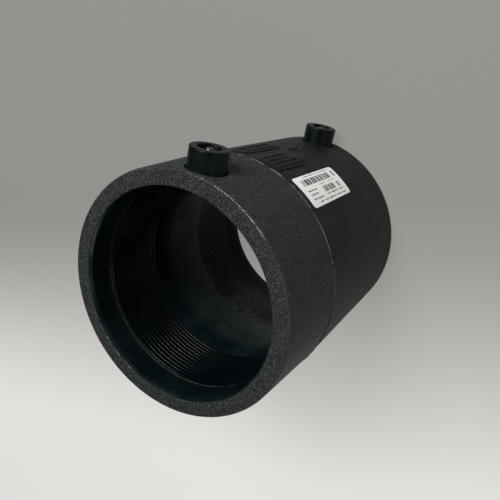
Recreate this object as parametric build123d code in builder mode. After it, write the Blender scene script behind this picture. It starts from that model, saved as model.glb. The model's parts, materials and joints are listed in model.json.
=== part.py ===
from build123d import *
import os

os.makedirs("parts", exist_ok=True)

# Driving dimensions in millimetres. The coupler stands on its lower end, with its axis on Z
# and its middle at the origin. The terminals look along -Y.

# Body
length = 155.0
bore_diameter = 111.0  # of the two entries and of the cold centre between the windings
entry_depth = 16.0  # from an end face to the seat of the winding
seam_wall = 11.3  # at the parting line of the mould, where the outside is widest
upper_end_wall = 10.0  # the outside tapers from the seam towards both ends
lower_end_wall = 10.2
seam_from_upper_end = 48.8
corner_rise = 1.0  # bevel on the outer edge of the end faces, across the wall
corner_depth = 1.6  # along the axis
mouth_bevel_depth = 2.4  # along the axis
mouth_bevel_rise = 1.3  # across the wall

# Windings: coated wire laid turn beside turn as a band, its crowns level with the bore
turns = 14
coated_wire_width = 2.8
coated_wire_thickness = 1.0
crown_setback = 0.05
winding_clearance = 0.1

# Wire between the windings and from each winding to its terminal
wire_diameter = 1.2
wire_clearance = 0.15
wire_cover = 0.1  # from the bore to the link wire
lead_width = 2.0
lead_thickness = 1.2
lead_skin = 1.0  # wall left between the bore and the lead

# Terminals, each stacked outwards from its lead: the pin's foot, then the shroud
pocket_from_end = 2.4  # from an end face to the edge of the terminal's pocket
pocket_gap = 0.5  # open ring round the foot of a shroud
shroud_diameter = 19.4
shroud_bore = 11.8
shroud_floor = 1.5
socket_depth = 14.0
shroud_rim_bevel = 0.4
foot_clearance = 0.05
pin_diameter = 4.0
pin_tip_bevel = 0.5
pin_below_rim = 0.4
pin_neck_diameter = 4.6  # where the pin passes the shroud's floor
pin_foot_diameter = 6.4
pin_foot_thickness = 2.4
pin_clearance = 0.15

# Fusion indicators
indicator_from_terminal = 24.2
indicator_diameter = 3.0
indicator_hole_gap = 0.45
indicator_hole_depth = 4.5
indicator_below_surface = 0.3
indicator_tip_bevel = 0.4

# Label, stuck to the lower side of the seam
label_length = 51.6  # along the axis
label_width = 20.5  # across, measured flat
label_thickness = 0.15
label_glue = 0.06
label_below_seam = 4.9
label_turn_from_terminals = 31.0  # degrees from the terminals to the label's middle
label_corner_radius = 2.0

# Values worked out from the sizes above
half_length = length / 2
bore_radius = bore_diameter / 2
seam_z = half_length - seam_from_upper_end
seam_radius = bore_radius + seam_wall
upper_radius = bore_radius + upper_end_wall
lower_radius = bore_radius + lower_end_wall
mouth_radius = bore_radius + mouth_bevel_rise
crown_radius = bore_radius + crown_setback
winding_radius = crown_radius + coated_wire_thickness
seat_radius = winding_radius + winding_clearance
winding_length = turns * coated_wire_width
seat_start_z = half_length - entry_depth  # end of the seat towards the mouth
seat_end_z = seat_start_z - winding_length - 2 * winding_clearance
winding_start_z = seat_start_z - winding_clearance
winding_end_z = winding_start_z - winding_length

link_wire_radius = bore_radius + wire_cover + wire_diameter / 2
lead_root_radius = (crown_radius + winding_radius) / 2  # the lead grows from inside the band
lead_inner = bore_radius + lead_skin + wire_clearance
lead_outer = lead_inner + lead_thickness
pocket_radius = shroud_diameter / 2 + pocket_gap
terminal_z = half_length - pocket_from_end - pocket_radius
lead_tip_z = terminal_z + pin_foot_diameter / 2
lead_root_z = winding_start_z - coated_wire_width
pin_foot_base = lead_outer + foot_clearance
pin_foot_top = pin_foot_base + pin_foot_thickness
pocket_floor = pin_foot_top + foot_clearance
shroud_base = pocket_floor + foot_clearance
socket_floor = shroud_base + shroud_floor
shroud_top = socket_floor + socket_depth
pin_top = shroud_top - pin_below_rim
indicator_z = terminal_z - indicator_from_terminal
label_top_z = seam_z - label_below_seam
label_end_z = label_top_z - label_length


def outside_radius(z):
    """Outside radius of the body at a height, on the taper above or below the seam."""
    if z > seam_z:
        share = (half_length - z) / (half_length - seam_z)
        return upper_radius + share * (seam_radius - upper_radius)
    share = (z + half_length) / (seam_z + half_length)
    return lower_radius + share * (seam_radius - lower_radius)


def front_plane(distance, z):
    """Plane across a terminal's axis, at a distance from the coupler's axis, facing out."""
    return Plane(origin=(0, -distance, z), x_dir=(1, 0, 0), z_dir=(0, -1, 0))


label_inner_top = outside_radius(label_top_z) + label_glue
label_inner_end = outside_radius(label_end_z) + label_glue
label_direction = Vector(0, -1, 0).rotate(Axis.Z, -label_turn_from_terminals)

# Body: a turned section, then the pockets, the indicator holes and the ways of the wire
with BuildPart() as coupler_body:
    with BuildSketch(Plane.XZ):
        with BuildLine():
            Polyline(
                (mouth_radius, half_length),
                (upper_radius - corner_rise, half_length),
                (outside_radius(half_length - corner_depth), half_length - corner_depth),
                (seam_radius, seam_z),
                (outside_radius(corner_depth - half_length), corner_depth - half_length),
                (lower_radius - corner_rise, -half_length),
                (mouth_radius, -half_length),
                (bore_radius, -half_length + mouth_bevel_depth),
                (bore_radius, -seat_start_z),
                (seat_radius, -seat_start_z),
                (seat_radius, -seat_end_z),
                (bore_radius, -seat_end_z),
                (bore_radius, seat_end_z),
                (seat_radius, seat_end_z),
                (seat_radius, seat_start_z),
                (bore_radius, seat_start_z),
                (bore_radius, half_length - mouth_bevel_depth),
                close=True,
            )
        make_face()
    revolve(axis=Axis.Z)
    for end in (1, -1):
        with BuildSketch(front_plane(pocket_floor, end * terminal_z)):
            Circle(pocket_radius)
        extrude(amount=shroud_top - pocket_floor, mode=Mode.SUBTRACT)
        with BuildSketch(front_plane(lead_outer, end * terminal_z)):
            Circle(pin_foot_diameter / 2 + pin_clearance)
        extrude(amount=pocket_floor - lead_outer, mode=Mode.SUBTRACT)
        hole_bottom = outside_radius(end * indicator_z) - indicator_hole_depth
        with BuildSketch(front_plane(hole_bottom, end * indicator_z)):
            Circle(indicator_diameter / 2 + indicator_hole_gap)
        extrude(amount=shroud_top - hole_bottom, mode=Mode.SUBTRACT)
        with BuildSketch(Plane.YZ):
            with BuildLine():
                Polyline(
                    (-(bore_radius + wire_cover), end * (lead_root_z - wire_clearance)),
                    (-(lead_outer + wire_clearance), end * (lead_root_z - wire_clearance)),
                    (-(lead_outer + wire_clearance), end * (lead_tip_z + wire_clearance)),
                    (-(lead_inner - wire_clearance), end * (lead_tip_z + wire_clearance)),
                    (-(lead_inner - wire_clearance), end * winding_start_z),
                    (-(bore_radius + wire_cover), end * winding_start_z),
                    close=True,
                )
            make_face()
        extrude(amount=lead_width / 2 + wire_clearance, both=True, mode=Mode.SUBTRACT)
    with BuildSketch(Plane.XY.offset(-seat_end_z)):
        with Locations((0, -link_wire_radius)):
            Circle(wire_diameter / 2 + wire_clearance)
        with Locations((0, -bore_radius)):
            Rectangle(wire_diameter + 2 * wire_clearance, 2 * (link_wire_radius - bore_radius))
    extrude(amount=2 * seat_end_z, mode=Mode.SUBTRACT)
coupler_body.part.label = "coupler_body"
export_step(coupler_body.part, "parts/coupler_body.step")

# Windings, each with its lead, and the wire between them
for side, end in (("upper", 1), ("lower", -1)):
    with BuildPart() as winding:
        with BuildSketch(Plane.XZ):
            band_middle = (winding_start_z + winding_end_z) / 2
            with Locations(((crown_radius + winding_radius) / 2, end * band_middle)):
                Rectangle(coated_wire_thickness, winding_length)
        revolve(axis=Axis.Z)
        with BuildSketch(Plane.YZ):
            with BuildLine():
                Polyline(
                    (-lead_root_radius, end * lead_root_z),
                    (-lead_outer, end * lead_root_z),
                    (-lead_outer, end * lead_tip_z),
                    (-lead_inner, end * lead_tip_z),
                    (-lead_inner, end * (winding_start_z - wire_clearance)),
                    (-lead_root_radius, end * (winding_start_z - wire_clearance)),
                    close=True,
                )
            make_face()
        extrude(amount=lead_width / 2, both=True)
    winding.part.label = f"winding_{side}"
    export_step(winding.part, f"parts/winding_{side}.step")

with BuildPart() as link_wire:
    with BuildSketch(Plane.XY.offset(winding_clearance - seat_end_z)):
        with Locations((0, -link_wire_radius)):
            Circle(wire_diameter / 2)
    extrude(amount=2 * (seat_end_z - winding_clearance))
link_wire.part.label = "link_wire"
export_step(link_wire.part, "parts/link_wire.step")

# Terminals: a shroud in each pocket, and the contact pin that stands in it
for side, end in (("upper", 1), ("lower", -1)):
    with BuildPart() as shroud:
        with BuildSketch(front_plane(shroud_base, end * terminal_z)):
            Circle(shroud_diameter / 2)
            Circle(pin_neck_diameter / 2 + pin_clearance, mode=Mode.SUBTRACT)
        extrude(amount=shroud_top - shroud_base)
        with BuildSketch(front_plane(socket_floor, end * terminal_z)):
            Circle(shroud_bore / 2)
        extrude(amount=socket_depth, mode=Mode.SUBTRACT)
        rim = shroud.faces().sort_by(Axis.Y)[0]
        chamfer(rim.edges(), shroud_rim_bevel)
    shroud.part.label = f"terminal_shroud_{side}"
    export_step(shroud.part, f"parts/terminal_shroud_{side}.step")

    with BuildPart() as pin:
        with BuildSketch(front_plane(pin_foot_base, end * terminal_z)):
            Circle(pin_foot_diameter / 2)
        extrude(amount=pin_foot_thickness)
        with BuildSketch(front_plane(pin_foot_top, end * terminal_z)):
            Circle(pin_neck_diameter / 2)
        extrude(amount=socket_floor - pin_foot_top)
        with BuildSketch(front_plane(socket_floor, end * terminal_z)):
            Circle(pin_diameter / 2)
        extrude(amount=pin_top - socket_floor)
        chamfer(pin.faces().sort_by(Axis.Y)[0].edges(), pin_tip_bevel)
    pin.part.label = f"terminal_pin_{side}"
    export_step(pin.part, f"parts/terminal_pin_{side}.step")

# Fusion indicators, each in its blind hole
for side, end in (("upper", 1), ("lower", -1)):
    surface = outside_radius(end * indicator_z)
    hole_bottom = surface - indicator_hole_depth
    with BuildPart() as indicator:
        with BuildSketch(front_plane(hole_bottom + foot_clearance, end * indicator_z)):
            Circle(indicator_diameter / 2)
        extrude(amount=indicator_hole_depth - foot_clearance - indicator_below_surface)
        chamfer(indicator.faces().sort_by(Axis.Y)[0].edges(), indicator_tip_bevel)
    indicator.part.label = f"fusion_indicator_{side}"
    export_step(indicator.part, f"parts/fusion_indicator_{side}.step")

# Label: a thin sheet that follows the taper, with rounded corners
with BuildPart() as barcode_label:
    with BuildSketch(Plane.XZ):
        with BuildLine():
            Polyline(
                (label_inner_top, label_top_z),
                (label_inner_top + label_thickness, label_top_z),
                (label_inner_end + label_thickness, label_end_z),
                (label_inner_end, label_end_z),
                close=True,
            )
        make_face()
    revolve(axis=Axis.Z)
    label_middle = (0, 0, (label_top_z + label_end_z) / 2)
    with BuildSketch(Plane(origin=label_middle, x_dir=(0, 0, 1), z_dir=label_direction)):
        RectangleRounded(label_length, label_width, label_corner_radius)
    extrude(amount=seam_radius + label_glue + label_thickness, mode=Mode.INTERSECT)
barcode_label.part.label = "barcode_label"
export_step(barcode_label.part, "parts/barcode_label.step")
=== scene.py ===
import json
from math import atan2, cos, pi, radians, sin

import bpy
from mathutils import Matrix, Vector


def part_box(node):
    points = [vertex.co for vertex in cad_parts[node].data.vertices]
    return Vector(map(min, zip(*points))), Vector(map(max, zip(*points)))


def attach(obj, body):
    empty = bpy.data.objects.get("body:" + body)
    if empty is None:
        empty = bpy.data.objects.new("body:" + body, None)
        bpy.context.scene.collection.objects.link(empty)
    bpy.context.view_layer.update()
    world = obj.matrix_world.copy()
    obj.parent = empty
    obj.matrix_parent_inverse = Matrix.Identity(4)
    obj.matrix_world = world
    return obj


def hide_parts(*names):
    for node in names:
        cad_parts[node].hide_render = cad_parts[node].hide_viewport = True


bl_info = {
    "name": "Electrofusion Coupler",
    "version": (1, 0, 0),
    "blender": (4, 5, 0),
    "location": "View3D > Sidebar > Coupler",
    "description": "Models and finishes an electrofusion coupler round its packed solids",
    "category": "Object",
}

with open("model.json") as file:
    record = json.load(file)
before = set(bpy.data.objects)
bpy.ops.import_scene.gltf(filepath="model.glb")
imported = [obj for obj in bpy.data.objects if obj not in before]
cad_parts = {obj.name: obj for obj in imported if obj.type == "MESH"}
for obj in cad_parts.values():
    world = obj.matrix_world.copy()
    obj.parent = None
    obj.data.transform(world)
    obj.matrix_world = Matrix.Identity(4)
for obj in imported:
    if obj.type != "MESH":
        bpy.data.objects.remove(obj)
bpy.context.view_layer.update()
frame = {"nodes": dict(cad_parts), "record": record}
mounts = {mount["name"]: mount for mount in frame["record"]["mounts"]}

MM = 0.001
AROUND = 192  # facets round the body
STEPS_IN_TURN = 120  # of the wire
WIRE_WIDTH_SHARE = 0.985  # leaves a hairline between two turns
HALF_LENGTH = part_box("coupler_body")[1].z
BORE_RADIUS = mounts["pipe_bore"]["dims"]["r_mm"] * MM
PIN_RADIUS = mounts["terminal_pin_upper"]["dims"]["r_mm"] * MM
TERMINAL_HEIGHT = mounts["terminal_pin_upper"]["pos_m"][2]
LABEL_LOW, LABEL_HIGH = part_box("barcode_label")
ENDS = (("upper", 1), ("lower", -1))
# Distances from the axis that the cutters reach
PAST_SHROUDS = 90.0 * MM
PAST_BODY = 80.0 * MM
INDICATOR_HOLE_DEPTH = 4.5 * MM
COUNTERSINK_DEPTH = 0.7 * MM
COUNTERSINK_WIDTH = 0.8 * MM
FLOOR_TURN = radians(-20.0)
FLOOR_SHADE_FROM = -0.03
FLOOR_SHADE_TO = 0.24
FLOOR_GLOW = 0.83
FLOOR_IN_GLOSS = 0.5
ROOM_LIGHT = 0.06
ROOM_GLOW = 0.9
# Sides where the turned lines are strongest, as angles about the axis from +X towards +Y
# Side of the painted highlights on the upper corner and the flash, and of the painted shadow under the
# flash
PAINTED_LIGHT_SIDE = radians(-112.0)
# Side of the mouth's wear and of the painted highlight at the upper groove's start
MOUTH_WEAR_AND_GLINT_SIDE = radians(56.0)
# Side of the dark short lines in the bore
BORE_LINES_SIDE = radians(95.0)
# Side of the painted shade on the flash's crown
SHADED_FLASH_SIDE = radians(168.0)
BLACK = (0.0, 0.0, 0.0, 1.0)
SKY = (0.80, 0.80, 0.79, 1.0)
CAMERA_PLACE = (-0.13205, -0.13616, 0.27285)
CAMERA_FORWARD = Vector((0.40118, 0.39914, -0.82446))
CAMERA_UP = Vector((0.35676, -0.89708, -0.26070))
CAMERA_SENSOR = 36.0
CAMERA_LENS = 38.97
LAMP_DISTANCE = 1.2


def length_value(name, description, millimetres):
    """Property for a length, with its default given in millimetres."""
    return bpy.props.FloatProperty(
        name=name,
        description=description,
        default=millimetres * MM,
        min=0.0,
        precision=5,
        unit="LENGTH",
        subtype="DISTANCE",
    )


def angle_value(name, description, degrees):
    """Property for an angle, with its default given in degrees."""
    return bpy.props.FloatProperty(
        name=name, description=description, default=radians(degrees), subtype="ANGLE"
    )


def colour_value(name, description, default):
    """Property for a colour."""
    return bpy.props.FloatVectorProperty(
        name=name, description=description, default=default, size=3, min=0.0, max=1.0, subtype="COLOR"
    )


class BodySizes(bpy.types.PropertyGroup):
    upper_end_radius: length_value("Upper end", "Outside radius at the upper end", 65.5)
    lower_end_radius: length_value("Lower end", "Outside radius at the lower end", 65.7)
    seam_radius: length_value("Seam", "Outside radius at the parting line", 66.8)
    seam_height: length_value("Seam height", "Height of the parting line", 28.7)
    corner_rise: length_value("Corner rise", "Outer corner of an end, across the wall", 1.0)
    corner_depth: length_value("Corner depth", "Outer corner of an end, along the axis", 1.6)
    mouth_rise: length_value("Mouth rise", "Bevel of a mouth, across the wall", 1.3)
    mouth_depth: length_value("Mouth depth", "Bevel of a mouth, along the axis", 2.4)
    flash_height: length_value("Flash height", "How far the flash stands out", 0.22)
    flash_width: length_value("Flash width", "Width of the flash at its foot", 0.8)
    seat_start: length_value("Seat start", "Height where the winding's groove begins", 61.5)
    seat_end: length_value("Seat end", "Height where the winding's groove ends", 22.1)
    seat_radius: length_value("Seat radius", "Radius of the winding's groove", 56.65)
    pocket_gap: length_value("Pocket gap", "Open ring round the foot of a shroud", 0.9)
    indicator_height: length_value("Indicator height", "Height of an indicator's hole", 40.7)
    indicator_hole: length_value("Indicator hole", "Radius of an indicator's hole", 1.95)


class WindingSizes(bpy.types.PropertyGroup):
    wire_width: length_value("Wire width", "Width of the coated wire", 2.8)
    wire_thickness: length_value("Wire thickness", "Thickness of the coated wire", 1.0)
    crown_setback: length_value("Crown setback", "From the bore to the wire's crowns", 0.05)
    crown_round: length_value("Crown round", "Rounding of the wire's section", 0.32)
    turns: bpy.props.IntProperty(
        name="Turns", description="Pitches of wire in a winding", default=13, min=1
    )
    lead_width: length_value("Lead width", "Width of the lead to a terminal", 2.0)
    lead_thickness: length_value("Lead thickness", "Thickness of the lead", 1.2)
    wire_clearance: length_value("Wire clearance", "Room round the leads and the link", 0.15)


class TerminalSizes(bpy.types.PropertyGroup):
    socket_radius: length_value("Socket radius", "Radius of a shroud's hole", 5.9)
    socket_depth: length_value("Socket depth", "Depth of a shroud's hole", 14.0)
    rim_round: length_value("Rim round", "Rounding of a shroud's rim", 0.6)
    neck_radius: length_value("Neck radius", "Radius of the pin in the shroud's floor", 2.3)
    foot_radius: length_value("Foot radius", "Radius of the pin's foot", 3.2)
    foot_thickness: length_value("Foot thickness", "Thickness of the pin's foot", 2.4)
    indicator_radius: length_value("Indicator radius", "Radius of an indicator", 1.5)


class LabelSizes(bpy.types.PropertyGroup):
    turn: angle_value("Turn", "From the terminals to the label's middle", 31.0)
    width: length_value("Width", "Width of the label, measured flat", 20.5)
    corner: length_value("Corner", "Radius of the label's corners", 2.0)
    thickness: length_value("Thickness", "Thickness of the paper", 0.15)
    lift: length_value("Lift", "From the body to the paper", 0.05)
    panel_turn: angle_value("Panel turn", "From the terminals to the raised panel", 9.5)
    panel_width: length_value("Panel width", "Width of the raised panel", 16.5)
    panel_length: length_value("Panel length", "Length of the raised panel", 33.0)
    panel_height: length_value("Panel height", "Height of the raised panel's middle", 7.4)
    panel_rise: length_value("Panel rise", "How far the panel stands out", 0.6)
    bar_rise: length_value("Bar rise", "How far the plain bars stand out", 1.05)


class Finishes(bpy.types.PropertyGroup):
    body: colour_value("Body", "Spark-eroded black plastic", (0.0105, 0.0128, 0.0125))
    body_far: colour_value("Far body", "Plastic below the seam", (0.0058, 0.0074, 0.0068))
    body_dust: colour_value("Body dust", "Duller patches of the body", (0.060, 0.063, 0.058))
    # Pale flecks on the grain's crowns: partly the grain's own tone, partly painted glints
    fleck_and_glint: colour_value("Fleck", "Crowns of the grain", (0.140, 0.148, 0.148))
    bore: colour_value("Bore", "Smooth plastic of the bore", (0.0010, 0.0038, 0.0046))
    # Scuffs, and in the bore and on the wire also painted sheen towards the lower end
    scuff_and_painted_light: colour_value("Bore scuffs", "Scuffs on smooth plastic", (0.0165, 0.0255, 0.0250))
    # Also the colour of the painted highlights and the painted bounce light
    wear_and_painted_light: colour_value("Worn edge", "Plastic rubbed pale", (0.46, 0.47, 0.47))
    shroud: colour_value("Shroud", "Semi-gloss black plastic", (0.0014, 0.0026, 0.0028))
    wire: colour_value("Wire coating", "Smooth coating of the wire", (0.0006, 0.0018, 0.0026))
    contact: colour_value("Contact", "Tinned contact metal", (0.13, 0.125, 0.11))
    contact_dull: colour_value("Dull contact", "Dull metal", (0.07, 0.065, 0.05))
    indicator: colour_value("Indicator", "Smooth black plastic", (0.004, 0.004, 0.004))
    indicator_cloud: colour_value("Indicator clouds", "Clouding", (0.012, 0.012, 0.012))
    paper: colour_value("Paper", "Label paper", (0.98, 0.98, 0.96))
    paper_fibre: colour_value("Paper fibre", "Darker fibres", (0.88, 0.88, 0.86))
    print_ink: colour_value("Print", "Ink on the label", (0.05, 0.05, 0.05))
    floor: colour_value("Floor", "Pale floor", (0.79, 0.79, 0.765))
    floor_far: colour_value("Far floor", "Floor behind the coupler", (0.290, 0.283, 0.268))


def start_clean():
    """Object mode with nothing selected."""
    if bpy.context.object and bpy.context.object.mode != "OBJECT":
        leave_edit()
    bpy.ops.object.select_all(action="DESELECT")


def leave_edit():
    """Back to object mode."""
    bpy.ops.object.mode_set(mode="OBJECT")


def make_active(piece):
    """Only this piece selected, and active."""
    start_clean()
    piece.select_set(True)
    bpy.context.view_layer.objects.active = piece


def edit_all(piece):
    """Edit mode with the whole mesh selected."""
    make_active(piece)
    bpy.ops.object.mode_set(mode="EDIT")
    bpy.ops.mesh.select_all(action="SELECT")


def select_edges(piece, chosen):
    """Edit mode with the edges selected whose two ends both pass the test."""
    make_active(piece)
    mesh = piece.data
    inside = [chosen(vertex.co) for vertex in mesh.vertices]
    for items in (mesh.polygons, mesh.vertices):
        items.foreach_set("select", [False] * len(items))
    picks = [inside[a] and inside[b] for a, b in (edge.vertices for edge in mesh.edges)]
    mesh.edges.foreach_set("select", picks)
    bpy.context.tool_settings.mesh_select_mode = (False, True, False)
    bpy.ops.object.mode_set(mode="EDIT")


def close_mesh(piece):
    """Merges doubled vertices and turns the faces outwards."""
    edit_all(piece)
    bpy.ops.mesh.remove_doubles(threshold=0.002 * MM)
    bpy.ops.mesh.normals_make_consistent(inside=False)
    leave_edit()


def place_in_mesh(piece):
    """Puts the object's place, turn and scale into its mesh."""
    make_active(piece)
    bpy.ops.object.transform_apply(location=True, rotation=True, scale=True)


def take_new(name, scale=(1.0, 1.0, 1.0)):
    """Names and scales the primitive that was just added, and puts its place into its mesh."""
    piece = bpy.context.object
    piece.name = name
    piece.scale = scale
    place_in_mesh(piece)
    return piece


def apply_modifier(piece, kind, **settings):
    """Adds a modifier with its settings and applies it."""
    make_active(piece)
    modifier = piece.modifiers.new(kind.lower(), kind)
    for setting, value in settings.items():
        setattr(modifier, setting, value)
    bpy.ops.object.modifier_apply(modifier=modifier.name)


def turned(name, outline, around, hollow=False):
    """Solid of revolution about Z: a circle drawn on from point to point, back to its start if hollow."""
    start_clean()
    radius, height = outline[0]
    fill = "NOTHING" if hollow else "NGON"
    bpy.ops.mesh.primitive_circle_add(
        vertices=around, radius=radius, location=(0, 0, height), fill_type=fill
    )
    piece = take_new(name)
    edit_all(piece)
    path = outline[1:] + outline[:1] if hollow else outline[1:]
    for next_radius, next_height in path:
        rise = (0, 0, next_height - height)
        bpy.ops.mesh.extrude_region_move(TRANSFORM_OT_translate={"value": rise})
        ratio = next_radius / radius
        bpy.ops.transform.resize(value=(ratio, ratio, 1), center_override=(0, 0, 0))
        radius, height = next_radius, next_height
    close_mesh(piece)
    return piece


def point_outwards(piece, height, turn=0.0, distance=0.0):
    """Turns a piece made on Z to look outwards, at a height and a turn from the terminals."""
    piece.rotation_euler = (radians(90), 0, -turn)
    piece.location = (-distance * sin(turn), -distance * cos(turn), height)
    place_in_mesh(piece)


def rounded_block(name, low, high, rounding):
    """Block between two corners, with its edges rounded."""
    start_clean()
    bpy.ops.mesh.primitive_cube_add(size=1.0, location=(low + high) / 2)
    piece = take_new(name, high - low)
    edit_all(piece)
    bpy.ops.mesh.bevel(offset=rounding, segments=2, affect="EDGES")
    leave_edit()
    return piece


def wrapped_plate(name, turn, height, width, length, corner, lift, thickness, cells):
    """Plate with round corners, laid on the body at a turn from the terminals and a height."""
    start_clean()
    bpy.ops.mesh.primitive_plane_add(size=1.0)
    piece = take_new(name, (width, length, 1.0))
    edit_all(piece)
    bpy.ops.mesh.bevel(offset=corner, segments=6, affect="VERTICES")
    directions = (Vector((1, 0, 0)), Vector((0, 1, 0)))
    for size, count, normal in zip((width, length), cells, directions):
        for step in range(1, count):
            bpy.ops.mesh.select_all(action="SELECT")
            bpy.ops.mesh.bisect(plane_co=normal * (step / count - 0.5) * size, plane_no=normal)
    leave_edit()
    point_outwards(piece, height, turn, outside_radius(height) + 2 * MM)
    apply_modifier(
        piece,
        "SHRINKWRAP",
        target=bpy.data.objects["moulded_body"],
        wrap_method="NEAREST_SURFACEPOINT",
        wrap_mode="ABOVE_SURFACE",
        offset=lift,
    )
    apply_modifier(piece, "SOLIDIFY", thickness=thickness, offset=1.0)
    close_mesh(piece)
    return piece


def join_pieces(pieces, name):
    """Joins several pieces into one mesh."""
    make_active(pieces[0])
    for piece in pieces[1:]:
        piece.select_set(True)
    bpy.ops.object.join()
    pieces[0].name = name
    return pieces[0]


def cut(piece, cutter):
    """Cuts one piece out of another and removes the cutter."""
    apply_modifier(piece, "BOOLEAN", operation="DIFFERENCE", object=cutter, solver="EXACT")
    bpy.data.objects.remove(cutter, do_unlink=True)


def drill(body, height, outline, around):
    """Cuts a turned hole into the terminals' side of the body."""
    cutter = turned("cutter", outline, around)
    point_outwards(cutter, height)
    cut(body, cutter)


def near(value, target, reach=0.01 * MM):
    """True where two lengths are the same within a reach."""
    return abs(value - target) < reach


def round_ring(piece, radius, height, width, steps):
    """Rounds the edge that runs round one turned ring."""
    select_edges(piece, lambda place: near(place.z, height) and near(place.xy.length, radius))
    bpy.ops.mesh.bevel(offset=width, segments=steps, affect="EDGES", profile=0.5)
    leave_edit()


def outside_radius(height):
    """Outside radius of the body at a height."""
    sizes = bpy.context.scene.coupler_body
    end = sizes.upper_end_radius if height > sizes.seam_height else sizes.lower_end_radius
    end_height = HALF_LENGTH if height > sizes.seam_height else -HALF_LENGTH
    share = (end_height - height) / (end_height - sizes.seam_height)
    return end + share * (sizes.seam_radius - end)


def outside_rings(first, last, steps):
    """Rings of the outside between two heights, so that a cut stays local."""
    heights = [first + (last - first) * step / steps for step in range(1, steps)]
    return [(outside_radius(height), height) for height in heights]


def finish_piece(piece, material, slot, *nodes, sharp_from=35.0):
    """Shading and material of a piece, which rides on the root and hides the solids that it stands for;
    the slot is not used.
    """
    make_active(piece)
    bpy.ops.object.shade_smooth_by_angle(angle=radians(sharp_from))
    piece.data.materials.clear()
    piece.data.materials.append(bpy.data.materials[material])
    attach(piece, "root")
    if nodes:
        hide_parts(*nodes)


class Nodes:
    """Builds one node tree, with short calls for the nodes used here."""

    def __init__(self, tree):
        self.tree = tree

    def add(self, kind, **settings):
        node = self.tree.nodes.new(kind)
        for setting, value in settings.items():
            setattr(node, setting, value)
        return node

    def join(self, source, target):
        self.tree.links.new(source, target)

    def feed(self, sockets, values):
        """Links or sets sockets by their names."""
        for name, value in values.items():
            if isinstance(value, bpy.types.NodeSocket):
                self.join(value, sockets[name])
            else:
                sockets[name].default_value = value

    def math(self, operation, *values):
        node = self.add("ShaderNodeMath", operation=operation)
        self.feed(node.inputs, dict(enumerate(values)))
        return node.outputs[0]

    def chain(self, operation, first, *others):
        """One operation over several values, from the first to the last."""
        for other in others:
            first = self.math(operation, first, other)
        return first

    def times(self, *values):
        return self.chain("MULTIPLY", *values)

    def mix(self, share, first, second, kind="RGBA"):
        """Colour that goes from the first to the second as the share goes from 0 to 1."""
        node = self.add("ShaderNodeMix", data_type=kind)
        self.feed(node.inputs, {"Factor": share, "A": first, "B": second})
        return node.outputs["Result"]

    def choose(self, share, first, second):
        """Value that goes from the first to the second as the share goes from 0 to 1."""
        return self.mix(share, first, second, "FLOAT")

    def ramp(self, value, low, high, to_low=0.0, to_high=1.0):
        """Soft step from one value to another between two limits."""
        node = self.add("ShaderNodeMapRange", interpolation_type="SMOOTHSTEP")
        limits = {"From Min": low, "From Max": high, "To Min": to_low, "To Max": to_high}
        self.feed(node.inputs, {"Value": value, **limits})
        return node.outputs["Result"]

    def noise(self, place, scale, detail=2.0, roughness=0.5):
        node = self.add("ShaderNodeTexNoise")
        settings = {"Scale": scale, "Detail": detail, "Roughness": roughness}
        self.feed(node.inputs, {"Vector": place, **settings})
        return node.outputs["Fac"]

    def mapped(self, place, setting, value):
        """Coordinates through a Mapping node with one setting changed."""
        node = self.add("ShaderNodeMapping", vector_type="POINT")
        self.feed(node.inputs, {"Vector": place, setting: value})
        return node.outputs[0]

    def split(self, place):
        """The three coordinates."""
        node = self.add("ShaderNodeSeparateXYZ")
        self.join(place, node.inputs[0])
        return node.outputs

    def axis_distance(self, place):
        """Distance from the coupler's axis."""
        length = self.add("ShaderNodeVectorMath", operation="LENGTH")
        self.join(self.mapped(place, "Scale", (1.0, 1.0, 0.0)), length.inputs[0])
        return length.outputs["Value"]

    def bump(self, height, relief, strength=1.0):
        """Normal from a height, with its relief in metres."""
        node = self.add("ShaderNodeBump")
        self.feed(node.inputs, {"Strength": strength, "Distance": relief, "Height": height})
        return node.outputs["Normal"]

    def group(self, name, **values):
        """Places a node group and feeds its inputs, such as from_along for From along."""
        node = self.add("ShaderNodeGroup", node_tree=bpy.data.node_groups[name])
        titles = {key.replace("_", " ").capitalize(): value for key, value in values.items()}
        self.feed(node.inputs, titles)
        return node.outputs


def new_group(name, inputs, *outputs):
    """Shader node group: an input with a number is a value, and one with None is a vector."""
    tree = bpy.data.node_groups.new(name, "ShaderNodeTree")
    for socket, default in inputs.items():
        kind = "NodeSocketVector" if default is None else "NodeSocketFloat"
        item = tree.interface.new_socket(name=socket, in_out="INPUT", socket_type=kind)
        if default is not None:
            item.default_value = default
    for socket in outputs:
        tree.interface.new_socket(name=socket, in_out="OUTPUT", socket_type="NodeSocketFloat")
    nodes = Nodes(tree)
    given = nodes.add("NodeGroupInput").outputs
    return nodes, given, nodes.add("NodeGroupOutput").inputs


def grain_group():
    """Spark-eroded grain: fine pits, with pale flecks on their crowns that are partly the grain's own
    tone and partly painted glints.
    """
    inputs = {"Place": None, "Size": 1.0, "Flecks": 0.5}
    nodes, given, out = new_group("spark_eroded_grain", inputs, "Height", "Fleck and glint mask")
    scale = nodes.math("DIVIDE", 1000.0, given["Size"])
    coarse = nodes.noise(given["Place"], scale, 2.0, 0.6)
    fine = nodes.noise(given["Place"], nodes.times(scale, 2.7), 2.0, 0.6)
    height = nodes.choose(0.35, coarse, fine)
    nodes.join(nodes.ramp(height, 0.3, 0.7), out["Height"])
    crowns = nodes.ramp(height, 0.46, 0.64)
    nodes.join(nodes.times(crowns, given["Flecks"]), out["Fleck and glint mask"])


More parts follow.
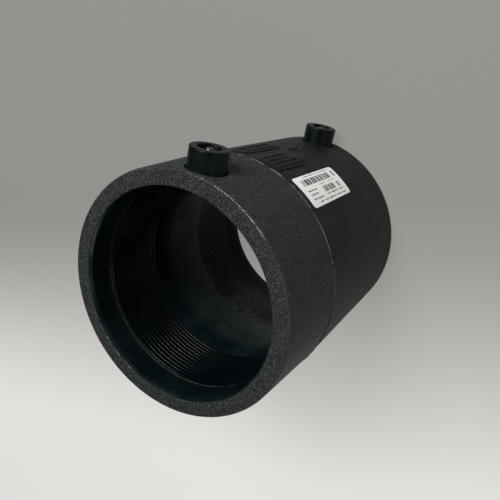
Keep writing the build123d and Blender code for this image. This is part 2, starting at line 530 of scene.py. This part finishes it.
def turned_line_group():
    """Mask along one turned line, broken up by noise and strongest towards one side; it marks wear,
    painted highlights and painted shadow.
    """
    inputs = {"Place": None, "Radius": 0.05, "Height": 0.0, "Width": 0.001}
    inputs |= {"Breaks": 0.5, "Side": 0.0, "Most": 1.0, "Elsewhere": 1.0}
    nodes, given, out = new_group("turned_line_mask", inputs, "Mask")
    axes = nodes.split(given["Place"])
    off_radius = nodes.math("SUBTRACT", nodes.axis_distance(given["Place"]), given["Radius"])
    off_height = nodes.math("SUBTRACT", axes["Z"], given["Height"])
    squares = [nodes.math("POWER", off, 2.0) for off in (off_radius, off_height)]
    distance = nodes.math("SQRT", nodes.math("ADD", *squares))
    close_by = nodes.ramp(nodes.math("DIVIDE", distance, given["Width"]), 0.3, 1.0, 1.0, 0.0)
    ragged = nodes.noise(given["Place"], 1100.0, 3.0, 0.7)
    patches = nodes.noise(given["Place"], 160.0, 2.0, 0.6)
    kept = nodes.choose(0.5, ragged, patches)
    gate = nodes.ramp(nodes.math("SUBTRACT", kept, nodes.times(given["Breaks"], 0.5)), 0.20, 0.30)
    azimuth = nodes.math("ARCTAN2", axes["Y"], axes["X"])
    facing = nodes.math("COSINE", nodes.math("SUBTRACT", azimuth, given["Side"]))
    strength = nodes.choose(nodes.ramp(facing, 0.91, 0.99), given["Elsewhere"], given["Most"])
    nodes.join(nodes.times(close_by, gate, strength), out["Mask"])


def print_group():
    """Generic print of a label: one field of plain bars or short dashes."""
    inputs = {"Along": 0.0, "From along": 0.0, "To along": 1.0}
    inputs |= {"Across": 0.0, "From across": 0.0, "To across": 1.0}
    inputs |= {"Step": 0.001, "Share": 0.5, "Seed": 0.0}
    nodes, given, out = new_group("label_print", inputs, "Mask")
    limits = [
        nodes.math(test, given[axis], given[f"{edge} {axis.lower()}"])
        for axis in ("Along", "Across")
        for test, edge in (("GREATER_THAN", "From"), ("LESS_THAN", "To"))
    ]
    cell = nodes.math("FLOOR", nodes.math("DIVIDE", given["Along"], given["Step"]))
    chance = nodes.add("ShaderNodeTexWhiteNoise", noise_dimensions="1D")
    nodes.join(nodes.math("ADD", cell, given["Seed"]), chance.inputs["W"])
    inked = nodes.math("LESS_THAN", chance.outputs["Value"], given["Share"])
    nodes.join(nodes.times(*limits, inked), out["Mask"])


def new_material(name):
    """Builder of a new material, its Principled shader's sockets and its Object coordinates."""
    material = bpy.data.materials.new(name)
    material.use_nodes = True
    material.node_tree.nodes.clear()
    nodes = Nodes(material.node_tree)
    shader = nodes.add("ShaderNodeBsdfPrincipled")
    output = nodes.add("ShaderNodeOutputMaterial")
    nodes.join(shader.outputs[0], output.inputs["Surface"])
    return nodes, shader.inputs, nodes.add("ShaderNodeTexCoord").outputs["Object"]


def colour(finish):
    """Colour of a finish, with full alpha."""
    return (*getattr(bpy.context.scene.coupler_finishes, finish), 1.0)


def turned_lines(nodes, place, *lines):
    """Mask of several turned lines, each a row of the values that the line group takes."""
    names = ("radius", "height", "width", "breaks", "side", "most", "elsewhere")
    masks = [
        nodes.group("turned_line_mask", place=place, **dict(zip(names, line)))["Mask"]
        for line in lines
    ]
    return nodes.chain("MAXIMUM", *masks)


def dark_lines(nodes, place):
    """Painted shadow under the seam's flash, painted shade on the flash's crown on one flank, and dark
    short lines in the bore near mid-length.
    """
    sizes = bpy.context.scene.coupler_body
    seam = sizes.seam_height
    crown = sizes.seam_radius + sizes.flash_height
    return turned_lines(
        nodes,
        place,
        # Painted shadow under the seam's flash, on the lit side
        (sizes.seam_radius, seam - 1.0 * MM, 1.1 * MM, 0.2, PAINTED_LIGHT_SIDE, 0.9, 0.9),
        # Painted shade on the flash's crown, on the flank turned from the light
        (crown, seam, 1.1 * MM, 0.1, SHADED_FLASH_SIDE, 1.0, 0.0),
        # Dark short lines in the bore near mid-length
        (BORE_RADIUS, 0.2 * MM, 0.6 * MM, 0.35, BORE_LINES_SIDE, 1.0, 0.3),
        (BORE_RADIUS, -2.7 * MM, 0.7 * MM, 0.4, BORE_LINES_SIDE, 1.0, 0.0),
        (BORE_RADIUS, -4.4 * MM, 0.5 * MM, 0.5, BORE_LINES_SIDE, 0.8, 0.0),
    )


def pale_lines(nodes, place):
    """Rubbed mouth and lower corner; the upper corner and the flash rubbed pale with a painted highlight
    strongest on one side; painted highlights on the edges of the windings' grooves.
    """
    sizes = bpy.context.scene.coupler_body
    upper_corner = sizes.upper_end_radius - sizes.corner_rise * 0.45
    lower_corner = sizes.lower_end_radius - sizes.corner_rise * 0.45
    crown = sizes.seam_radius + sizes.flash_height
    seat = sizes.seat_start + 0.4 * MM
    return turned_lines(
        nodes,
        place,
        # Upper corner: faint wear all round, and a painted highlight on the lit side
        (upper_corner, HALF_LENGTH - 0.3 * MM, 0.6 * MM, 0.54, PAINTED_LIGHT_SIDE, 1.0, 0.07),
        (BORE_RADIUS + sizes.mouth_rise, HALF_LENGTH, 0.4 * MM, 0.66, MOUTH_WEAR_AND_GLINT_SIDE, 0.8, 0.05),
        # Flash: pale crest, partly rubbed and partly a painted highlight
        (crown, sizes.seam_height, 0.45 * MM, 0.42, PAINTED_LIGHT_SIDE, 0.6, 0.42),
        # Groove edges: painted highlights where the edges would catch the light
        (BORE_RADIUS, seat, 0.28 * MM, 0.4, MOUTH_WEAR_AND_GLINT_SIDE, 0.25, 0.25),
        (BORE_RADIUS, -seat, 0.3 * MM, 0.4, 0.0, 0.2, 0.1),
        (lower_corner, 0.3 * MM - HALF_LENGTH, 0.4 * MM, 0.56, 0.0, 0.5, 0.15),
    )


def body_material():
    """Black plastic: coarse grain above the seam, finer below it, smooth in the bore."""
    sizes = bpy.context.scene.coupler_body
    nodes, shader, place = new_material("moulded_black_plastic")
    across = nodes.axis_distance(place)
    axes = nodes.split(place)
    in_bore = nodes.ramp(across, BORE_RADIUS + 0.9 * MM, BORE_RADIUS + 1.3 * MM, 1.0, 0.0)
    above = nodes.ramp(axes["Z"], sizes.seam_height - 0.5 * MM, sizes.seam_height + 0.5 * MM)
    coarse = nodes.group("spark_eroded_grain", place=place, size=0.54, flecks=0.77)
    fine = nodes.group("spark_eroded_grain", place=place, size=0.5, flecks=0.09)
    patches = nodes.noise(place, 95.0, 6.0, 0.7)
    streaks = nodes.noise(nodes.mapped(place, "Scale", (1.0, 1.0, 0.16)), 260.0, 3.0, 0.65)
    clouds = nodes.noise(nodes.mapped(place, "Scale", (1.0, 1.0, 0.5)), 55.0, 4.0, 0.62)
    fleck_and_glint = nodes.choose(above, fine["Fleck and glint mask"], coarse["Fleck and glint mask"])
    fleck_and_glint = nodes.choose(in_bore, fleck_and_glint, 0.0)
    height = nodes.choose(above, nodes.times(fine["Height"], 0.35), coarse["Height"])
    height = nodes.choose(in_bore, height, nodes.times(streaks, 0.06))
    # Scuffs in the bore: random clouds, with a painted sheen that grows towards the lower end
    painted_sheen_deeper = nodes.ramp(axes["Z"], -4.0 * MM, 16.0 * MM, 1.1, 0.22)
    smeared = nodes.ramp(streaks, 0.35, 0.65, 0.6, 1.0)
    scuffs = nodes.times(nodes.ramp(clouds, 0.22, 0.72), smeared, painted_sheen_deeper)
    bore = nodes.mix(scuffs, colour("bore"), colour("scuff_and_painted_light"))
    outside = nodes.mix(above, colour("body_far"), colour("body"))
    rubbed = nodes.times(nodes.ramp(patches, 0.45, 0.75), nodes.ramp(streaks, 0.42, 0.66, 0.15, 1.0))
    dusty = nodes.times(rubbed, nodes.choose(above, 0.6, 0.2))
    outside = nodes.mix(dusty, outside, colour("body_dust"))
    # Painted bounce light: pale speckles on the flank that faces the floor (+Y), standing in for its
    # sheen
    bounce_lit_side = nodes.ramp(axes["Y"], -15.0 * MM, 40.0 * MM)
    end_radius = sizes.upper_end_radius
    flank = nodes.ramp(across, end_radius - 0.5 * MM, end_radius - 0.1 * MM)
    painted_bounce_light = nodes.times(bounce_lit_side, nodes.choose(fleck_and_glint, 0.035, 0.45), flank)
    outside = nodes.mix(painted_bounce_light, outside, colour("wear_and_painted_light"))
    base = nodes.mix(in_bore, outside, bore)
    # Pale flecks: partly the grain's tone, partly painted glints on the crowns
    base = nodes.mix(nodes.times(fleck_and_glint, 0.68), base, colour("fleck_and_glint"))
    # Pale lines: wear, and painted highlights on the upper corner, the flash and the grooves' edges
    base = nodes.mix(pale_lines(nodes, place), base, colour("wear_and_painted_light"))
    # Painted shadow and shade along the flash, and dark lines in the bore
    base = nodes.mix(dark_lines(nodes, place), base, BLACK)
    rough = nodes.math("ADD", nodes.choose(above, 0.46, 0.52), nodes.times(patches, 0.1))
    rough = nodes.math("SUBTRACT", rough, nodes.times(fleck_and_glint, 0.12))
    bore_rough = nodes.ramp(clouds, 0.35, 0.7, 0.22, 0.5)
    finish = {
        "Base Color": base,
        "Roughness": nodes.choose(in_bore, rough, bore_rough),
        "Coat Weight": nodes.times(in_bore, 0.09),
        "Coat Roughness": 0.12,
        "Normal": nodes.bump(height, 0.28 * MM),
        "Specular IOR Level": 0.12,
        "Specular Tint": (0.90, 1.0, 0.98, 1.0),
    }
    nodes.feed(shader, finish)


def wire_material():
    """Smooth black coating of the wire, scuffed, and lighter towards the lower end with painted light."""
    nodes, shader, place = new_material("wire_coating")
    cloud = nodes.noise(place, 60.0, 3.0, 0.6)
    drawn = nodes.noise(place, 220.0, 2.0, 0.5)
    # Random scuffs, with painted light that grows towards the lower end
    lower = nodes.ramp(nodes.split(place)["Z"], -20.0 * MM, 20.0 * MM, 0.7, 0.05)
    dull = nodes.times(nodes.ramp(cloud, 0.3, 0.8), lower)
    finish = {
        "Base Color": nodes.mix(dull, colour("wire"), colour("scuff_and_painted_light")),
        "Roughness": nodes.ramp(cloud, 0.3, 0.7, 0.16, 0.26),
        "Normal": nodes.bump(drawn, 0.03 * MM, 0.5),
        "Specular IOR Level": 0.17,
    }
    nodes.feed(shader, finish)


def shroud_material():
    """Semi-gloss black plastic with light scuffs."""
    nodes, shader, place = new_material("semi_gloss_shroud")
    cloud = nodes.noise(place, 90.0, 3.0, 0.6)
    scuffs = nodes.noise(place, 1500.0, 2.0, 0.7)
    scuffed = nodes.ramp(cloud, 0.45, 0.8, 0.0, 0.2)
    finish = {
        "Base Color": nodes.mix(scuffed, colour("shroud"), colour("scuff_and_painted_light")),
        "Roughness": nodes.ramp(cloud, 0.3, 0.7, 0.32, 0.46),
        "Normal": nodes.bump(scuffs, 0.03 * MM, 0.5),
        "Specular IOR Level": 0.14,
        "Specular Tint": (0.80, 1.0, 1.0, 1.0),
    }
    nodes.feed(shader, finish)


def contact_material():
    """Tinned contact metal, a little dull."""
    nodes, shader, place = new_material("tinned_contact")
    cloud = nodes.noise(place, 600.0, 3.0, 0.6)
    dull = nodes.ramp(cloud, 0.45, 0.8, 0.0, 0.5)
    finish = {
        "Base Color": nodes.mix(dull, colour("contact"), colour("contact_dull")),
        "Metallic": 1.0,
        "Roughness": nodes.ramp(cloud, 0.3, 0.7, 0.24, 0.4),
    }
    nodes.feed(shader, finish)


def indicator_material():
    """Smooth black plastic of the fusion indicators."""
    nodes, shader, place = new_material("smooth_indicator")
    cloud = nodes.noise(place, 800.0, 2.0, 0.5)
    base = nodes.mix(cloud, colour("indicator"), colour("indicator_cloud"))
    nodes.feed(shader, {"Base Color": base, "Roughness": 0.4})


def label_material():
    """White paper with generic print, laid out on the flat of the label."""
    nodes, shader, place = new_material("printed_paper")
    turn = bpy.context.scene.coupler_label.turn
    axes = nodes.split(nodes.mapped(place, "Rotation", (0, 0, turn)))
    along = nodes.math("SUBTRACT", LABEL_HIGH.z, axes["Z"])
    lengths = ("from_along", "to_along", "from_across", "to_across", "step")
    masks = []
    for *sizes, share, seed in (
        (5.5, 48.5, 3.1, 7.1, 0.62, 0.56, 5.0),
        (22.5, 45.0, -3.9, -0.2, 0.62, 0.56, 11.0),
        (11.0, 48.0, 8.4, 8.9, 0.9, 0.6, 23.0),
        (22.0, 44.0, 1.3, 1.8, 0.7, 0.6, 31.0),
        (5.0, 16.0, -0.7, 0.1, 0.9, 0.7, 41.0),
        (5.0, 14.0, -3.2, -2.4, 0.9, 0.7, 47.0),
        (4.0, 18.5, -5.9, -5.1, 0.8, 0.66, 53.0),
        (23.0, 47.0, -5.7, -5.0, 0.8, 0.66, 59.0),
        (9.0, 46.0, -8.2, -7.5, 0.8, 0.66, 67.0),
    ):
        field = {name: size * MM for name, size in zip(lengths, sizes)}
        field |= {"along": along, "across": axes["X"], "share": share, "seed": seed}
        masks.append(nodes.group("label_print", **field)["Mask"])
    ink = nodes.chain("MAXIMUM", *masks)
    fibre = nodes.noise(place, 900.0, 3.0, 0.6)
    paper = nodes.mix(nodes.ramp(fibre, 0.3, 0.7, 0.0, 0.12), colour("paper"), colour("paper_fibre"))
    finish = {
        "Base Color": nodes.mix(nodes.times(ink, 0.96), paper, colour("print_ink")),
        "Roughness": 0.5,
        "Normal": nodes.bump(fibre, 0.02 * MM, 0.4),
    }
    nodes.feed(shader, finish)


def floor_material():
    """Pale floor, darker on one side, that shows its own colour and still takes a shadow."""
    nodes, shader, place = new_material("pale_floor")
    axes = nodes.split(nodes.mapped(place, "Rotation", (0, 0, FLOOR_TURN)))
    share = nodes.ramp(axes["Y"], FLOOR_SHADE_FROM, FLOOR_SHADE_TO)
    shade = nodes.mix(share, colour("floor_far"), colour("floor"))
    nodes.feed(shader, {"Base Color": shade, "Roughness": 0.8})
    glow = nodes.add("ShaderNodeEmission")
    nodes.join(shade, glow.inputs["Color"])
    rays = nodes.add("ShaderNodeLightPath").outputs
    mirrored = nodes.times(rays["Is Glossy Ray"], FLOOR_IN_GLOSS)
    seen = nodes.math("MAXIMUM", rays["Is Camera Ray"], mirrored)
    blend = nodes.add("ShaderNodeMixShader")
    plain = nodes.tree.nodes["Principled BSDF"].outputs[0]
    nodes.feed(blend.inputs, {0: nodes.times(seen, FLOOR_GLOW), 1: plain, 2: glow.outputs[0]})
    nodes.join(blend.outputs[0], nodes.tree.nodes["Material Output"].inputs["Surface"])


def follow_first_turns(body, sizes, width):
    """Moves the ends of both grooves along the first and the last turn of the wire."""
    for vertex in body.data.vertices:
        if vertex.co.xy.length > sizes.seat_radius + 0.1 * MM:
            continue
        share = (atan2(vertex.co.y, vertex.co.x) / (2 * pi) + 0.25) % 1.0
        if min(share, 1.0 - share) < 0.001:
            continue
        for height, reach in (
            (sizes.seat_end, width * share),
            (-sizes.seat_start, width * share),
            (sizes.seat_start, width * (share - 1.0)),
            (-sizes.seat_end, width * (share - 1.0)),
        ):
            if near(vertex.co.z, height, 0.3 * MM):
                vertex.co.z += reach
                break


def span(first, second):
    """Two heights in rising order."""
    return min(first, second), max(first, second)


def cut_wire_ways(body, side, end):
    """Cuts the pin's seat and the way of the lead from the groove to it."""
    sizes = bpy.context.scene.coupler_winding
    terminal = bpy.context.scene.coupler_terminal
    room = sizes.wire_clearance
    low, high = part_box(f"winding_{side}")
    pin_base = -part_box(f"terminal_pin_{side}")[1].y
    outer = -low.y
    tip = high.z if end > 0 else low.z
    groove_end = end * bpy.context.scene.coupler_body.seat_start
    seat = terminal.foot_radius + room
    seat_top = pin_base + terminal.foot_thickness + 0.2 * MM
    drill(body, end * TERMINAL_HEIGHT, [(seat, outer), (seat, seat_top)], 48)
    half = sizes.lead_width / 2 + room
    start = groove_end - end * sizes.wire_width
    for stop, inner in (
        (groove_end - end * 0.05 * MM, BORE_RADIUS + 0.1 * MM),
        (tip + end * room, outer - sizes.lead_thickness - room),
    ):
        bottom, top = span(start, stop)
        low_corner = Vector((-half, -outer - room, bottom))
        cut(body, rounded_block("cutter", low_corner, Vector((half, -inner, top)), 0.1 * MM))


def cut_link_way(body):
    """Cuts the open slot of the wire that links the two windings."""
    room = bpy.context.scene.coupler_winding.wire_clearance
    low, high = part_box("link_wire")
    low_corner = Vector((low.x - room, low.y - room, low.z - 0.1 * MM))
    high_corner = Vector((high.x + room, -BORE_RADIUS + 1.5 * MM, high.z + 0.1 * MM))
    cut(body, rounded_block("cutter", low_corner, high_corner, 0.45 * MM))


class COUPLER_OT_body(bpy.types.Operator):
    """Turn the moulded sleeve and cut its pockets and holes"""

    bl_idname = "coupler.body"
    bl_label = "Moulded body"

    def execute(self, context):
        sizes = context.scene.coupler_body
        mouth = BORE_RADIUS + sizes.mouth_rise
        top = HALF_LENGTH
        line = sizes.seam_height
        half_flash = sizes.flash_width / 2
        upper_corner = top - sizes.corner_depth
        lower_bore = [
            (BORE_RADIUS, sizes.mouth_depth - top),
            (BORE_RADIUS, -sizes.seat_start),
            (sizes.seat_radius, -sizes.seat_start),
            (sizes.seat_radius, -sizes.seat_end),
            (BORE_RADIUS, -sizes.seat_end),
            (BORE_RADIUS, -0.15 * MM),
        ]
        crown = sizes.seam_radius + sizes.flash_height
        outline = [
            (mouth, top),
            (sizes.upper_end_radius - sizes.corner_rise, top),
            (outside_radius(upper_corner), upper_corner),
            *outside_rings(upper_corner, line + half_flash, 6),
            (outside_radius(line + half_flash), line + half_flash),
            (crown, line + half_flash / 4),
            (crown, line - half_flash / 4),
            (outside_radius(line - half_flash), line - half_flash),
            *outside_rings(line - half_flash, -upper_corner, 14),
            (outside_radius(-upper_corner), -upper_corner),
            (sizes.lower_end_radius - sizes.corner_rise, -top),
            (mouth, -top),
            *lower_bore,
            (BORE_RADIUS + 0.12 * MM, 0.0),
            *[(radius, -height) for radius, height in reversed(lower_bore)],
        ]
        body = turned("moulded_body", outline, AROUND, hollow=True)
        for end, end_radius in ((1, sizes.upper_end_radius), (-1, sizes.lower_end_radius)):
            for radius, height, width, steps in (
                (end_radius - sizes.corner_rise, top, 0.6, 4),
                (outside_radius(end * upper_corner), upper_corner, 0.6, 4),
                (mouth, top, 0.35, 3),
                (BORE_RADIUS, top - sizes.mouth_depth, 0.5, 3),
                (BORE_RADIUS, sizes.seat_start, 0.18, 2),
                (BORE_RADIUS, sizes.seat_end, 0.18, 2),
            ):
                round_ring(body, radius, end * height, width * MM, steps)
        follow_first_turns(body, sizes, context.scene.coupler_winding.wire_width)
        select_edges(body, lambda place: near(place.xy.length, crown) and near(place.z, line, half_flash))
        bpy.ops.transform.vertex_random(offset=0.12 * MM, uniform=0.0, normal=1.0, seed=4)
        leave_edit()
        for side, end in ENDS:
            low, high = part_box(f"terminal_shroud_{side}")
            pocket = (high.x - low.x) / 2 + sizes.pocket_gap
            floor = -high.y - 0.05 * MM
            drill(body, end * TERMINAL_HEIGHT, [(pocket, floor), (pocket, PAST_SHROUDS)], 64)
            hole_height = end * sizes.indicator_height
            surface = outside_radius(hole_height)
            hole = sizes.indicator_hole
            wide = hole + COUNTERSINK_WIDTH
            outline = [
                (hole, surface - INDICATOR_HOLE_DEPTH),
                (hole, surface - COUNTERSINK_DEPTH),
                (wide, surface + 0.1 * MM),
                (wide, PAST_BODY),
            ]
            drill(body, hole_height, outline, 40)
            cut_wire_ways(body, side, end)
        cut_link_way(body)
        finish_piece(body, "moulded_black_plastic", "body_plastic", "coupler_body", sharp_from=32.0)
        return {"FINISHED"}


class COUPLER_OT_windings(bpy.types.Operator):
    """Lay the coated wire of both windings turn beside turn"""

    bl_idname = "coupler.windings"
    bl_label = "Windings"

    def execute(self, context):
        sizes = context.scene.coupler_winding
        body = context.scene.coupler_body
        pitch = sizes.wire_width
        middle = BORE_RADIUS + sizes.crown_setback + sizes.wire_thickness / 2
        for side, end in ENDS:
            start_clean()
            start = body.seat_end + 0.1 * MM + pitch / 2
            if end < 0:
                start -= body.seat_end + body.seat_start
            bpy.ops.mesh.primitive_plane_add(
                size=1.0, location=(0, -middle, start), rotation=(0, radians(90), 0)
            )
            section = (pitch * WIRE_WIDTH_SHARE, sizes.wire_thickness, 1.0)
            coil = take_new(f"wound_wire_{side}", section)
            edit_all(coil)
            bpy.ops.mesh.bevel(offset=sizes.crown_round, segments=5, affect="VERTICES")
            bpy.ops.mesh.select_all(action="SELECT")
            bpy.ops.mesh.delete(type="ONLY_FACE")
            leave_edit()
            steps = {"steps": STEPS_IN_TURN, "render_steps": STEPS_IN_TURN}
            apply_modifier(
                coil, "SCREW", axis="Z", screw_offset=pitch, iterations=sizes.turns, **steps
            )
            edit_all(coil)
            bpy.ops.mesh.select_all(action="DESELECT")
            context.tool_settings.mesh_select_mode = (False, True, False)
            bpy.ops.mesh.select_non_manifold()
            bpy.ops.mesh.edge_face_add()
            close_mesh(coil)
            low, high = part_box(f"winding_{side}")
            half = sizes.lead_width / 2
            root = end * (body.seat_start - 0.1 * MM)
            pieces = [coil]
            for tip, inner, outer, rounding in (
                (high.z if end > 0 else low.z, low.y + sizes.lead_thickness, low.y, 0.3),
                (root - end * 0.15 * MM, -middle, low.y + 0.3 * MM, 0.2),
            ):
                foot, top = span(root - end * pitch, tip)
                low_corner = Vector((-half, outer, foot))
                high_corner = Vector((half, inner, top))
                pieces.append(rounded_block("lead", low_corner, high_corner, rounding * MM))
            join_pieces(pieces, f"wound_wire_{side}")
            finish_piece(coil, "wire_coating", "winding_plastic", f"winding_{side}", sharp_from=50.0)
        link = frame["nodes"]["link_wire"]
        link.data.materials.clear()
        link.data.materials.append(bpy.data.materials["wire_coating"])
        return {"FINISHED"}


class COUPLER_OT_terminals(bpy.types.Operator):
    """Turn the terminal shrouds and the contact pins in them"""

    bl_idname = "coupler.terminals"
    bl_label = "Terminals"

    def execute(self, context):
        sizes = context.scene.coupler_terminal
        for side, end in ENDS:
            low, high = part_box(f"terminal_shroud_{side}")
            radius = (high.x - low.x) / 2
            foot, rim = -high.y, -low.y
            floor = rim - sizes.socket_depth
            socket = sizes.socket_radius
            hole = sizes.neck_radius + 0.15 * MM
            outline = [
                (hole, foot),
                (radius, foot),
                (radius, rim),
                (socket, rim),
                (socket, floor),
                (hole, floor),
            ]
            shroud = turned(f"shroud_{side}", outline, 72, hollow=True)
            round_ring(shroud, radius, rim, sizes.rim_round, 4)
            round_ring(shroud, socket, rim, sizes.rim_round * 0.6, 3)
            round_ring(shroud, socket, floor, 0.5 * MM, 3)
            point_outwards(shroud, end * TERMINAL_HEIGHT)
            finish_piece(shroud, "semi_gloss_shroud", "shroud_plastic", f"terminal_shroud_{side}")
            low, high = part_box(f"terminal_pin_{side}")
            base, tip = -high.y, -low.y
            shoulder = base + sizes.foot_thickness
            outline = [
                (sizes.foot_radius, base),
                (sizes.foot_radius, shoulder),
                (sizes.neck_radius, shoulder),
                (sizes.neck_radius, floor),
                (PIN_RADIUS, floor),
                (PIN_RADIUS, tip - 0.6 * MM),
                (PIN_RADIUS * 0.9, tip - 0.25 * MM),
                (PIN_RADIUS * 0.65, tip),
            ]
            pin = turned(f"contact_pin_{side}", outline, 48)
            point_outwards(pin, end * TERMINAL_HEIGHT)
            finish_piece(pin, "tinned_contact", "contact_metal", f"terminal_pin_{side}")
        return {"FINISHED"}


class COUPLER_OT_indicators(bpy.types.Operator):
    """Turn the two fusion indicators"""

    bl_idname = "coupler.indicators"
    bl_label = "Fusion indicators"

    def execute(self, context):
        radius = context.scene.coupler_terminal.indicator_radius
        height = context.scene.coupler_body.indicator_height
        for side, end in ENDS:
            low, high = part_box(f"fusion_indicator_{side}")
            base, tip = -high.y, -low.y
            outline = [
                (radius, base),
                (radius, tip - 0.5 * MM),
                (radius * 0.85, tip - 0.15 * MM),
                (radius * 0.5, tip),
            ]
            pin = turned(f"indicator_{side}", outline, 32)
            point_outwards(pin, end * height)
            finish_piece(pin, "smooth_indicator", "indicator_plastic", f"fusion_indicator_{side}")
        return {"FINISHED"}


class COUPLER_OT_label(bpy.types.Operator):
    """Cut the paper label, round its corners and lay it on the body"""

    bl_idname = "coupler.label"
    bl_label = "Label"

    def execute(self, context):
        sizes = context.scene.coupler_label
        middle = (LABEL_HIGH.z + LABEL_LOW.z) / 2
        length = LABEL_HIGH.z - LABEL_LOW.z
        outline = (sizes.turn, middle, sizes.width, length, sizes.corner)
        label = wrapped_plate("paper_label", *outline, sizes.lift, sizes.thickness, (24, 12))
        finish_piece(label, "printed_paper", "label_paper", "barcode_label", sharp_from=40.0)
        return {"FINISHED"}


class COUPLER_OT_marks(bpy.types.Operator):
    """Raise the plain panels and bars of the mould between the terminals"""

    bl_idname = "coupler.marks"
    bl_label = "Raised panels"

    def execute(self, context):
        sizes = context.scene.coupler_label
        sunk = 0.4 * MM
        bar_width = 1.7 * MM
        first_bar = -12.5
        bar_gap = 1.6
        middle = sizes.panel_height
        radius = outside_radius(middle)
        rise = sizes.panel_rise
        second_turn = radians(-7.5)
        second_middle = 2.0 * MM
        plates = [
            (sizes.panel_turn, middle, sizes.panel_width, sizes.panel_length, 4.0, rise, (14, 6)),
            (second_turn, second_middle, 12.5 * MM, 42.0 * MM, 6.0, rise, (12, 8)),
        ]
        for row, bars in (
            (-5.0, (9.0, 6.0, 9.0)),
            (-1.6, (5.0, 11.0, 7.0)),
            (1.8, (12.0, 5.0)),
            (5.2, (6.0, 14.0)),
        ):
            turn = sizes.panel_turn - row * MM / radius
            along = first_bar
            for bar in bars:
                height = middle - (along + bar / 2) * MM
                plates.append((turn, height, bar_width, bar * MM, 0.6, sizes.bar_rise, (2, 2)))
                along += bar + bar_gap
        for row in (-2.6, 2.6):
            turn = second_turn - row * MM / radius
            plates.append((turn, second_middle, 2.2 * MM, 31.0 * MM, 0.9, sizes.bar_rise, (2, 4)))
        for step in range(5):
            height = -(18.5 + 1.9 * step) * MM
            plates.append((radians(2.0), height, 2.4 * MM, 1.0 * MM, 0.4, rise * 1.3, (2, 2)))
        pieces = [
            wrapped_plate("plate", turn, height, width, length, corner * MM, -sunk, sunk + out, cells)
            for turn, height, width, length, corner, out, cells in plates
        ]
        marks = join_pieces(pieces, "raised_panels")
        apply_modifier(
            marks, "BEVEL", width=0.12 * MM, segments=2, limit_method="ANGLE", angle_limit=radians(60)
        )
        finish_piece(marks, "moulded_black_plastic", "body_plastic", sharp_from=40.0)
        return {"FINISHED"}


class COUPLER_OT_stage(bpy.types.Operator):
    """Set the floor, the lamps and the camera"""

    bl_idname = "coupler.stage"
    bl_label = "Stage"

    def execute(self, context):
        scene = context.scene
        start_clean()
        bpy.ops.mesh.primitive_plane_add(size=6.0, location=(0, 0, -HALF_LENGTH - 0.02 * MM))
        floor = context.object
        floor.name = "floor"
        floor.data.materials.append(bpy.data.materials["pale_floor"])
        world = bpy.data.worlds.new("soft_room")
        world.use_nodes = True
        nodes = Nodes(world.node_tree)
        sky = world.node_tree.nodes["Background"]
        seen = nodes.add("ShaderNodeLightPath").outputs["Is Camera Ray"]
        strength = nodes.choose(seen, ROOM_LIGHT, ROOM_GLOW)
        nodes.feed(sky.inputs, {"Color": SKY, "Strength": strength})
        scene.world = world
        sideways = CAMERA_FORWARD.cross(CAMERA_UP)
        turn = Matrix((sideways, CAMERA_UP, -CAMERA_FORWARD)).transposed()
        bpy.ops.object.camera_add(location=CAMERA_PLACE)
        camera = context.object
        camera.name = "photo_camera"
        camera.rotation_euler = turn.to_euler()
        camera.data.sensor_width = CAMERA_SENSOR
        camera.data.lens = CAMERA_LENS
        scene.camera = camera
        for name, azimuth, elevation, size, power in (
            ("ceiling_lamp", -72.0, 52.0, 0.6, 20.0),
            ("window_lamp", 178.0, 25.0, 0.5, 0.8),
            ("low_lamp", 132.0, 12.0, 0.8, 4.5),
        ):
            around, up = radians(azimuth), radians(elevation)
            direction = Vector((cos(up) * cos(around), cos(up) * sin(around), sin(up)))
            place = direction * LAMP_DISTANCE
            bpy.ops.object.light_add(type="AREA", location=place)
            lamp = context.object
            lamp.name = name
            lamp.data.shape = "DISK"
            lamp.data.size = size
            lamp.data.energy = power
            lamp.rotation_euler = place.to_track_quat("Z", "Y").to_euler()
        scene.view_settings.view_transform = "Standard"
        return {"FINISHED"}


class COUPLER_PT_panel(bpy.types.Panel):
    """Sizes, finishes and pieces of the coupler"""

    bl_label = "Electrofusion Coupler"
    bl_idname = "COUPLER_PT_panel"
    bl_space_type = "VIEW_3D"
    bl_region_type = "UI"
    bl_category = "Coupler"

    def draw(self, context):
        for operator in OPERATORS:
            self.layout.operator(operator.bl_idname)
        for name, group in GROUPS:
            box = self.layout.box()
            for setting in group.__annotations__:
                box.prop(getattr(context.scene, name), setting)


OPERATORS = (
    COUPLER_OT_body,
    COUPLER_OT_windings,
    COUPLER_OT_terminals,
    COUPLER_OT_indicators,
    COUPLER_OT_label,
    COUPLER_OT_marks,
    COUPLER_OT_stage,
)
GROUPS = (
    ("coupler_body", BodySizes),
    ("coupler_winding", WindingSizes),
    ("coupler_terminal", TerminalSizes),
    ("coupler_label", LabelSizes),
    ("coupler_finishes", Finishes),
)


def register():
    for name, group in GROUPS:
        bpy.utils.register_class(group)
        setattr(bpy.types.Scene, name, bpy.props.PointerProperty(type=group))
    for operator in OPERATORS:
        bpy.utils.register_class(operator)
    bpy.utils.register_class(COUPLER_PT_panel)


def unregister():
    bpy.utils.unregister_class(COUPLER_PT_panel)
    for operator in reversed(OPERATORS):
        bpy.utils.unregister_class(operator)
    for name, group in reversed(GROUPS):
        delattr(bpy.types.Scene, name)
        bpy.utils.unregister_class(group)


def main():
    register()
    groups = (grain_group, turned_line_group, print_group)
    materials = (body_material, wire_material, shroud_material, contact_material)
    for make in (*groups, *materials, indicator_material, label_material, floor_material):
        make()
    bpy.ops.coupler.body()
    bpy.ops.coupler.windings()
    bpy.ops.coupler.terminals()
    bpy.ops.coupler.indicators()
    bpy.ops.coupler.label()
    bpy.ops.coupler.marks()
    bpy.ops.coupler.stage()


if __name__ == "__main__":
    main()
